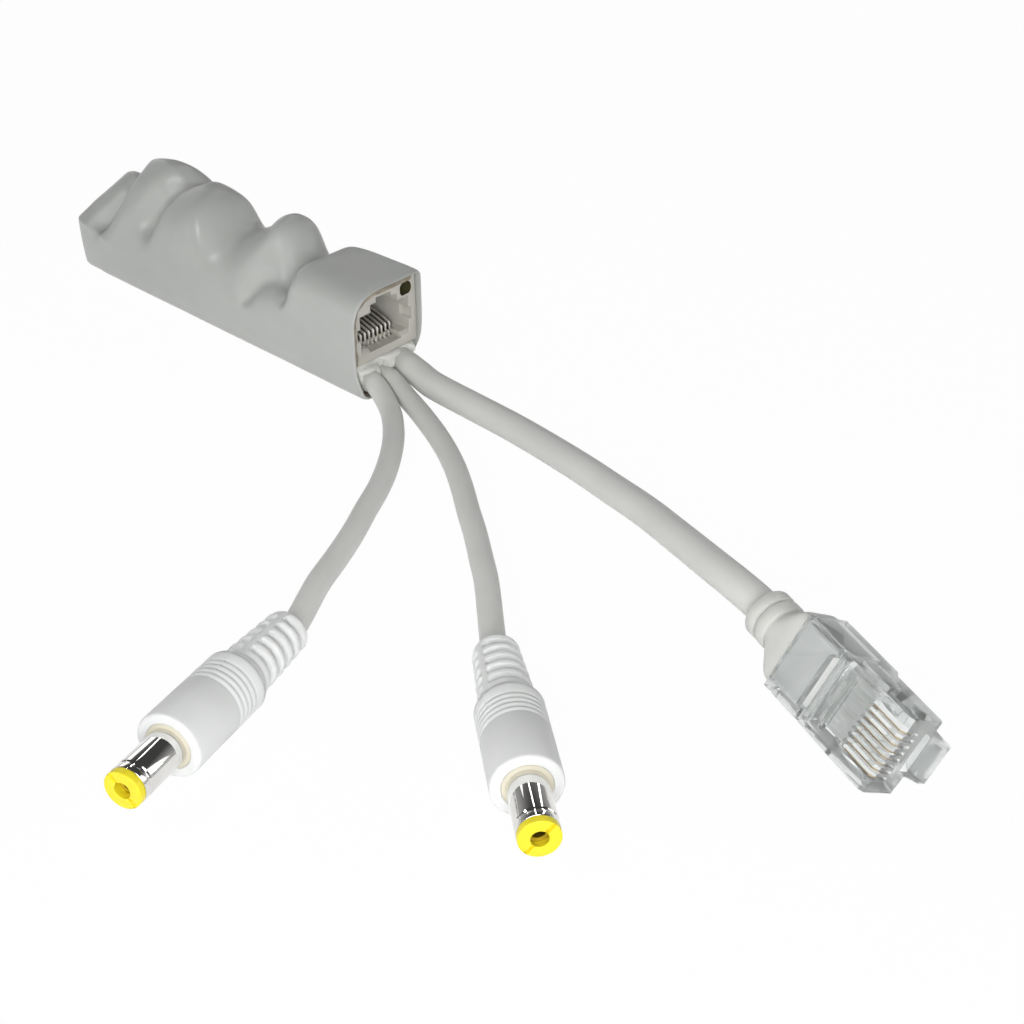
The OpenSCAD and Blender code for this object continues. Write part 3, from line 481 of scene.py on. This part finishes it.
def makeRim(v):
    ay, az, r = v["arch"]
    n = v["steps"]
    line = [(v["side"], v["start"] + (az - v["start"]) * i / n, 180) for i in range(n)]
    for a in range(180, 89, -3):
        line.append((ay + r * math.cos(math.radians(a)), az + r * math.sin(math.radians(a)), a))
    line += [(ay + (v["end"] - ay) * i / n, az + r, 90) for i in range(1, n + 1)]
    rows = []
    for y, z, a in line:
        narrow, wide = v["wide"]
        w = narrow + (wide - narrow) * (0.5 + 0.5 * noise.noise(Vector((y, z, 3)) * 0.7))
        out = Vector((0, math.cos(math.radians(a)), math.sin(math.radians(a))))
        x0, x1 = v["depth"]
        x1 += 0.12 * noise.noise(Vector((y, z, 9)) * 1.1)
        corners = [(x0, 0.25), (x1, 0.25), (x1 - 0.03, -0.4 * w), (x0 + 0.2, -w), (x0, -w)]
        rows.append([(Vector((x, y, z)) + out * far) * mm for x, far in corners])
    showPiece(None, "rimAdhesive", lofted(rows), ["liner"], 50)


makeRim(rimForm)
print("rim adhesive laid")


# round plugs: each piece is a profile spun round the plug's axis
def plugFrame(k):
    tip, bearing = plugTip(k)
    swing = Matrix.Rotation(math.radians(bearing), 4, "Z")
    tilt = Matrix.Rotation(math.radians(-roundPlug["lift"]), 4, "Y")
    return Matrix.Translation(tip * mm) @ swing @ tilt @ Matrix.Scale(mm, 4)


# profile: (distance from the tip, radius), open from axis to axis or closed as a ring;
# shape gives each spun point's shift to the rear and its new radius
def turned(profile, steps, place, shape=None, ring=False):
    bm = bmesh.new()
    index = bm.verts.layers.int.new("index")
    line = [bm.verts.new((-s, r, 0)) for s, r in profile]
    for i, p in enumerate(line):
        p[index] = i
    edges = [bm.edges.new(pair) for pair in zip(line, line[1:])]
    if ring:
        edges.append(bm.edges.new((line[-1], line[0])))
    bmesh.ops.spin(bm, geom=line + edges, cent=(0, 0, 0), axis=(1, 0, 0), angle=2 * math.pi, steps=steps,
                   use_merge=True)
    onAxis = [p for p in bm.verts if profile[p[index]][1] == 0]
    bmesh.ops.remove_doubles(bm, verts=onAxis, dist=1e-4)
    for p in bm.verts:
        s, r = profile[p[index]]
        if shape and r:
            a = math.atan2(p.co.z, p.co.y) % (2 * math.pi)
            back, q = shape(s, r, a)
            p.co = (-s - back, q * math.cos(a), q * math.sin(a))
    bm.verts.layers.int.remove(index)
    bm.transform(place)
    return bm


# a corner of a profile rounded by an arc of some points
def fillet(a, b, c, r, parts=4):
    a, b, c = (Vector((*p, 0)) for p in (a, b, c))
    u, w = (a - b).normalized(), (c - b).normalized()
    t = r / math.tan(u.angle(w) / 2)
    p, q = b + u * t, b + w * t
    out = []
    for i in range(parts + 1):
        k = i / parts
        m = p.lerp(b, k).lerp(b.lerp(q, k), k)
        out.append((m.x, m.y))
    return out


def rounded(points, radii, parts=4, ring=False):
    out = []
    n = len(points)
    for i, p in enumerate(points):
        r = radii[i]
        if r and (ring or 0 < i < n - 1):
            out += fillet(points[i - 1], p, points[(i + 1) % n], r, parts)
        else:
            out.append(p)
    return out


gripForm = {"steps": 128, "bore": 2.81, "seat": 3.31, "seatDeep": 2.6, "deep": 15.56, "front": 0.6,
            "ringStart": 9.3, "ringStep": 1.0, "rings": 5, "ringDepth": 0.13, "relief": (3.8, 3.2),
            "reliefSteps": 96, "slot": 0.42, "slots": 5, "slotFirst": 0.9, "slotShift": 0.6, "slotStep": 2.2,
            "slotDepth": 0.95, "spine": 0.5, "bulge": 0.16, "parting": 0.07, "partingWide": 0.22}


def gripProfile(v):
    g, s = roundPlug["barrel"], roundPlug["barrel"] + roundPlug["grip"]
    e, r = s + roundPlug["relief"], roundPlug["gripD"] / 2
    bore, seat, d = v["bore"], v["seat"], v["ringDepth"]
    inner = g + v["seatDeep"]
    line = rounded([(v["deep"], 0), (v["deep"], bore), (inner, bore), (inner, seat), (g + 0.12, seat),
                    (g, seat + 0.12), (g, r), (g + 3, r)], [0, 0, 0, 0, 0.1, 0.05, v["front"], 0], 7)
    groove = [(-0.12, 0), (0, 0.05), (0.14, d * 0.8), (0.25, d), (0.36, d * 0.8), (0.5, 0.05), (0.62, 0)]
    for i in range(v["rings"]):
        a = g + v["ringStart"] + v["ringStep"] * i
        line += [(a + at, r - cut) for at, cut in groove]
    line.append((s - 1.5, r))
    front, rear = v["relief"]
    line += fillet((s - 2.4, r), (s - 1.2, r), (s - 0.1, r - 0.8), 1.6, 4)
    line += fillet((s - 1.0, r - 0.15), (s - 0.1, r - 0.8), (s - 0.05, front), 0.12, 3)
    n = v["reliefSteps"]
    line += [(s + 0.05 + (e - s - 0.45) * i / n, front + (rear - front) * i / n) for i in range(n + 1)]
    line += fillet((e - 1, rear), (e, rear), (e, 0), 0.35, 4) + [(e, 1.5), (e, 0)]
    out = line[:1]
    for p in line[1:]:
        if abs(p[0] - out[-1][0]) + abs(p[1] - out[-1][1]) > 1e-4:
            out.append(p)
    return out, s


def ease(t):
    t = max(0, min(1, t))
    return t * t * (3 - 2 * t)


def gripShape(v, s0, roll):
    def shape(s, r, a):
        a = (a - math.radians(roll)) % (2 * math.pi)
        y = math.cos(a)
        q = r
        if r > 3 and s0 + 0.3 < s < s0 + 12.3:
            first = v["slotFirst"] + (v["slotShift"] if y > 0 else 0)
            i = math.floor((s - s0 - first) / v["slotStep"] + 0.25)
            mid = s - s0 - first - 0.45 - i * v["slotStep"]
            deep = ease((v["slot"] + 0.18 - abs(mid)) / 0.3) if 0 <= i < v["slots"] else 0
            way = ease((abs(y) * r - v["spine"]) / 0.35)
            swell = v["bulge"] * math.cos(math.pi * min(1, abs(mid) / (v["slotStep"] / 2)) + math.pi)
            q = r + (swell - v["slotDepth"] * deep) * way
        if r > 3.3 and s > 10.2:
            for top in (math.pi / 2, 1.5 * math.pi):
                q += v["parting"] * max(0, 1 - abs(a - top) * r / v["partingWide"])
        return 0, q
    return shape


collarForm = {"steps": 64, "radius": 3.29, "hole": 2.755, "length": 2.5}
barrelForm = {"steps": 96, "radius": 2.75, "wall": 0.4, "groove": 0.13, "root": 0.15, "end": 15.5}
tipForm = {"steps": 144, "hole": 1.15, "bore": 1.6, "slotWide": 0.17, "slotDeep": 0.5}


def tipShape(v, turn):
    turn = math.radians(turn)

    def shape(s, r, a):
        if s > 0.02 or r < 1.1:
            return 0, r
        off = abs(r * math.sin(a - turn))
        return v["slotDeep"] * (1 - ease((off - v["slotWide"]) / 0.08)), r
    return shape


def collarProfile(v):
    g = roundPlug["barrel"]
    corners = [(g - 0.02, v["hole"]), (g + 0.06, v["radius"]), (g + v["length"], v["radius"]),
               (g + v["length"], v["hole"])]
    return rounded(corners, [0, 0.06, 0.05, 0], 4, True)


def barrelProfile(v):
    g, r, end = roundPlug["barrel"], v["radius"], v["end"]
    low, root, inner = r - v["groove"], r - v["root"], r - v["wall"]
    corners = [(1.1, inner), (1.1, r), (1.9, r), (2.1, low), (2.4, low), (2.6, r), (g + 0.6, r),
               (g + 0.6, root), (end, root), (end, inner)]
    return rounded(corners, [0, 0.12, 0.08, 0.06, 0.06, 0.08, 0.04, 0, 0.05, 0], 4, True)


# the front face has many rings, so that its slot has clean sides
def tipProfile(v, r, end):
    hole, bore, neck = v["hole"], v["bore"], r - 0.46
    face = [(0, 1.2 + 0.07 * i) for i in range(16)]
    return (fillet((1.4, hole), (0, hole), (0, hole + 0.1), 0.04, 2) + face
            + fillet((0, 2.3), (0, r - 0.05), (1.05, r - 0.05), 0.18, 4)
            + [(1.02, r - 0.05), (1.05, r - 0.1), (1.05, neck), (end - 0.1, neck), (end - 0.1, bore),
               (1.4, bore)])


def makeRoundPlug(k):
    place = plugFrame(k)
    profile, s0 = gripProfile(gripForm)
    shape = gripShape(gripForm, s0, roundPlug["roll"][k])
    grip = turned(profile, gripForm["steps"], place, shape)
    showPiece(f"dc{k}_grip", f"plugGrip{k}", grip, ["grip"], 50)
    collar = turned(collarProfile(collarForm), collarForm["steps"], place, ring=True)
    showPiece(f"dc{k}_collar", f"plugCollar{k}", collar, ["collar"])
    barrel = turned(barrelProfile(barrelForm), barrelForm["steps"], place, ring=True)
    showPiece(f"dc{k}_barrel", f"plugBarrel{k}", barrel, ["nickel"], 30)
    profile = tipProfile(tipForm, barrelForm["radius"], barrelForm["end"])
    tip = turned(profile, tipForm["steps"], place, tipShape(tipForm, roundPlug["slotTurn"][k]), True)
    showPiece(f"dc{k}_tip", f"plugTip{k}", tip, ["yellow"], 40)


for k in (1, 2):
    makeRoundPlug(k)
print("round plugs dressed")

# modular plug: the clear body with straight sides, and the boot lofted from its rings to the body
shellForm = {"half": 5.9, "wall": 5.5, "edge": 0.11}
bootForm = {"steps": 96, "ring": 3.75, "gap": 3.25, "ringWide": 1.9, "gapWide": 0.34, "neck": 3.35,
            "front": (5.62, 3.68), "tongue": (4.8, 2.5), "corner": 9, "flare": 10}


def modPlugFrame():
    v = modPlug
    swing = Matrix.Rotation(math.radians(v["bearing"]), 4, "Z")
    tilt = Matrix.Rotation(math.radians(v["dip"]), 4, "Y")
    roll = Matrix.Rotation(math.radians(v["roll"]), 4, "X")
    return Matrix.Translation(Vector(v["at"]) * mm) @ swing @ tilt @ roll @ Matrix.Scale(mm, 4)


def makeShell(v):
    place = modPlugFrame()
    back = place.inverted()
    bm = wholeCopy("plug_shell")
    for p in bm.verts:
        q = back @ p.co
        if abs(q.y) > v["wall"]:
            q.y = math.copysign(v["half"], q.y)
        p.co = place @ q
    bmesh.ops.remove_doubles(bm, verts=bm.verts, dist=1e-5)
    bmesh.ops.dissolve_degenerate(bm, dist=1e-5, edges=bm.edges)
    roundEdges(bm, v["edge"], 3)
    bm.normal_update()
    # faces on the straight side walls take the darker clear finish, which is painted shade
    side = (place.to_3x3() @ Vector((0, 1, 0))).normalized()
    for f in bm.faces:
        if abs(f.normal.dot(side)) > 0.9 and abs((back @ f.calc_center_median()).y) > v["wall"]:
            f.material_index = 1
    showPiece("plug_shell", "clearBody", bm, ["clear", "clearSidePaintedShade"], 30)


# rows of the boot from rear to front: (distance along the plug, half width, half height, squareness)
def bootRows(v, rear, front):
    ring, gap, neck = v["ring"], v["gap"], v["neck"]
    y1, z1 = v["front"]
    y2, z2 = v["tongue"]
    rows = [(rear, r, r, 0) for r in (2.0, ring - 0.35)] + [(rear + 0.12, ring - 0.12, ring - 0.12, 0)]
    x = rear
    for i in range(2):
        end = x + v["ringWide"]
        turns = [(x + 0.35, ring), (end - 0.35, ring), (end - 0.1, ring - 0.12), (end, ring - 0.3),
                 (end + 0.02, gap), (end + v["gapWide"] - 0.02, gap)]
        x = end + v["gapWide"]
        turns += [(x, ring - 0.3), (x + 0.1, ring - 0.12)] if i == 0 else [(x, neck)]
        rows += [(at, r, r, 0) for at, r in turns]
    for i in range(1, v["flare"] + 1):
        k = i / v["flare"]
        t = ease(min(1, k * 1.12))
        rows.append((x + (front - 0.3 - x) * k, neck + (y1 - neck) * t, neck + (z1 - neck) * t, k))
    ends = [(front - 0.08, y1, z1), (front, y1 - 0.08, z1 - 0.08), (front, y2, z2), (-2.75, y2, z2),
            (-2.6, y2 - 0.15, z2 - 0.15), (-2.6, 2.0, 1.5)]
    return rows + [(at, hy, hz, 1) for at, hy, hz in ends]


def makeBoot(v):
    front = -modPlug["length"] / 2 - 0.06
    loops = []
    for x, hy, hz, square in bootRows(v, -modPlug["length"] / 2 - modPlug["boot"], front):
        power = 2 / (2 + (v["corner"] - 2) * square)
        loop = []
        for i in range(v["steps"]):
            a = 2 * math.pi * i / v["steps"]
            c, d = math.cos(a), math.sin(a)
            y, z = math.copysign(abs(c) ** power, c) * hy, math.copysign(abs(d) ** power, d) * hz
            loop.append(Vector((x, y, z)))
        loops.append(loop)
    bm = lofted(loops)
    # faces from the boot's front on (the tongue) take the brighter tongue finish, which is painted light
    for f in bm.faces:
        f.material_index = int(min(p.co.x for p in f.verts) > front - 0.01)
    bm.transform(modPlugFrame())
    showPiece("plug_boot", "plugBoot", bm, ["boot", "tongue"], 32)


makeShell(shellForm)
makeBoot(bootForm)
print("modular plug dressed")


stageLook = {"floor": (0.9, 0.9, 0.9), "floorGlow": 0.975, "side": 0.38, "above": 0.06}


def makeFloor():
    bm = bmesh.new()
    bmesh.ops.create_grid(bm, x_segments=4, y_segments=4, size=3)
    bmesh.ops.translate(bm, verts=bm.verts, vec=(0.06, 0, -0.00002))
    ob = newObject("floorPlane", bm)
    mat, tree, bsdf = newMaterial("whiteFloor")
    bsdf.inputs["Base Color"].default_value = (*stageLook["floor"], 1)
    bsdf.inputs["Roughness"].default_value = 0.9
    bsdf.inputs["Specular IOR Level"].default_value = 0.1
    path = addNode(tree, "ShaderNodeLightPath")
    a = addNode(tree, "ShaderNodeMath", operation="MAXIMUM")
    link(tree, path, "Is Camera Ray", a, 0)
    link(tree, path, "Is Glossy Ray", a, 1)
    glow = addNode(tree, "ShaderNodeEmission", Strength=1.0)
    mix = addNode(tree, "ShaderNodeMixShader")
    share = addNode(tree, "ShaderNodeMath", operation="MULTIPLY")
    link(tree, a, 0, share, 0)
    share.inputs[1].default_value = stageLook["floorGlow"]
    link(tree, share, 0, mix, 0)
    link(tree, bsdf, 0, mix, 1)
    link(tree, glow, 0, mix, 2)
    link(tree, mix, 0, tree.nodes["Material Output"], 0)
    ob.data.materials.append(mat)


def makeWorld():
    world = bpy.data.worlds.new("studio")
    scene.world = world
    world.use_nodes = True
    tree = world.node_tree
    back = tree.nodes["Background"]
    coord = addNode(tree, "ShaderNodeTexCoord")
    split = addNode(tree, "ShaderNodeSeparateXYZ")
    link(tree, coord, "Generated", split, 0)
    s, a = stageLook["side"], stageLook["above"]
    ramp = rampOn(tree, split, "Z", [(0.0, (s, s, s)), (0.12, (s, s, s)), (0.6, (a, a, a)), (1.0, (a, a, a))])
    path = addNode(tree, "ShaderNodeLightPath")
    mix = addNode(tree, "ShaderNodeMix", data_type="RGBA")
    link(tree, path, "Is Camera Ray", mix, 0)
    link(tree, ramp, "Color", mix, 6)
    mix.inputs[7].default_value = (1, 1, 1, 1)
    link(tree, mix, 2, back, "Color")


moduleAim = (0.06, -0.03, 0.0)
plugAim = (0.12, -0.08, 0.01)
lampPlan = {
    "nearFill": {"at": (0.25, -0.20, 0.13), "to": moduleAim, "size": (0.15, 0.15), "power": 0.37},
    "nearHigh": {"at": (0.30, -0.17, 0.26), "to": moduleAim, "size": (0.15, 0.15), "power": 0.16},
    "glint": {"at": (0.014, -0.27, 0.255), "to": (0.0, -0.01, 0.01), "size": (0.03, 0.03), "power": 0.26},
    "frontFill": {"at": (0.516, -0.536, 0.124), "to": moduleAim, "size": (0.35, 0.35), "power": 0.72},
    "leftFill": {"at": (-0.437, -0.479, 0.202), "to": moduleAim, "size": (0.35, 0.35), "power": 0.42},
    "rightFill": {"at": (0.54, 0.404, 0.227), "to": moduleAim, "size": (0.35, 0.35), "power": 0.5},
    "leftBack": {"at": (-0.55, 0.2, 0.2), "to": (0.0, 0.0, 0.0), "size": (0.25, 0.25), "power": 0.25},
    "backStripOne": {"at": (-0.183, 0.198, 0.289), "to": plugAim, "size": (0.03, 0.16), "power": 0.07},
    "backStripTwo": {"at": (-0.027, 0.369, 0.192), "to": plugAim, "size": (0.03, 0.3), "power": 0.12},
    "sideStrip": {"at": (0.372, 0.321, 0.04), "to": plugAim, "size": (0.03, 0.06), "power": 0.02},
}


def makeLamps(plan):
    for name, v in plan.items():
        data = bpy.data.lights.new(name, "AREA")
        data.shape = "RECTANGLE"
        data.size, data.size_y = v["size"]
        data.energy = v["power"]
        ob = bpy.data.objects.new(name, data)
        ob.location = v["at"]
        ob.rotation_euler = (Vector(v["to"]) - Vector(v["at"])).to_track_quat("-Z", "Y").to_euler()
        scene.collection.objects.link(ob)


makeFloor()
makeWorld()
makeLamps(lampPlan)
scene.view_settings.view_transform = "Standard"
print("stage lit")


for name, (ob, length) in leadObjects.items():
    x, y, z = leads[name]["route"][2]
